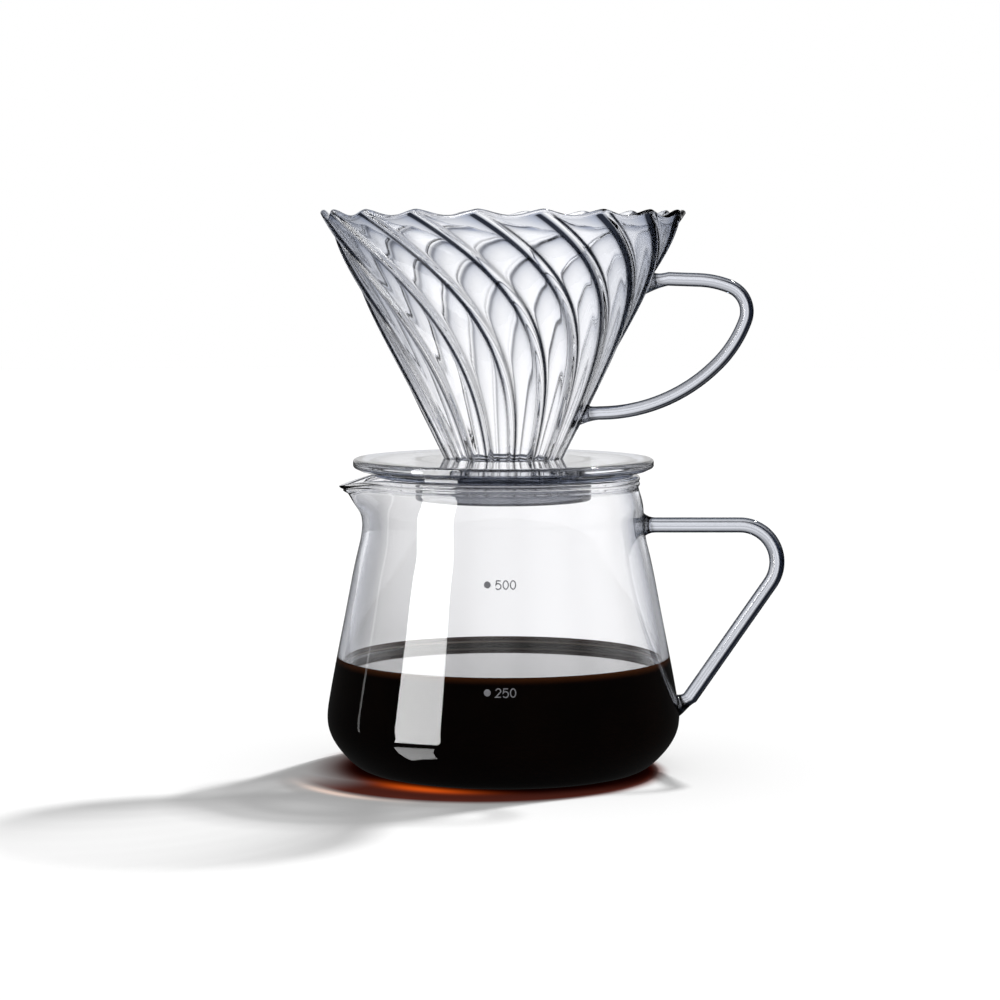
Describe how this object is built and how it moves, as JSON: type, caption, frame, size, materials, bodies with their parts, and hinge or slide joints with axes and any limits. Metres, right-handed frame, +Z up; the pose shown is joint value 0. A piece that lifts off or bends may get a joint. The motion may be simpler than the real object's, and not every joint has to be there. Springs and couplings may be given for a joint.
{
  "type": "pour over dripper",
  "caption": "Glass cone dripper with spiral ribs and a round plate, standing on a glass server with a spout; both have rod handles, and coffee fills part of the server.",
  "frame": {"origin": "centre of the server's foot, on the surface it stands on", "axes": "+Z up along the axis of the dripper and the server, +X towards both handles, -X towards the spout"},
  "size_m": [0.1493, 0.1176, 0.1792],
  "materials": {
    "smoked_glass": "polished",
    "printed_enamel": "satin",
    "coffee": "gloss"
  },
  "bodies": {
    "server": {"server_body": "smoked_glass", "server_handle": "smoked_glass", "server_weld_upper": "smoked_glass", "server_weld_lower": "smoked_glass", "mark_500": "printed_enamel", "mark_250": "printed_enamel", "coffee": "coffee"},
    "dripper": {"dripper_cone": "smoked_glass", "base_plate": "smoked_glass", "locating_collar": "smoked_glass", "dripper_handle": "smoked_glass", "dripper_weld_upper": "smoked_glass", "dripper_weld_lower": "smoked_glass"}
  },
  "joints": [
    {"name": "dripper_lift", "type": "slide", "parent": "server", "child": "dripper", "axis": [0, 0, 1], "range_m": [0, 0.1]}
  ]
}
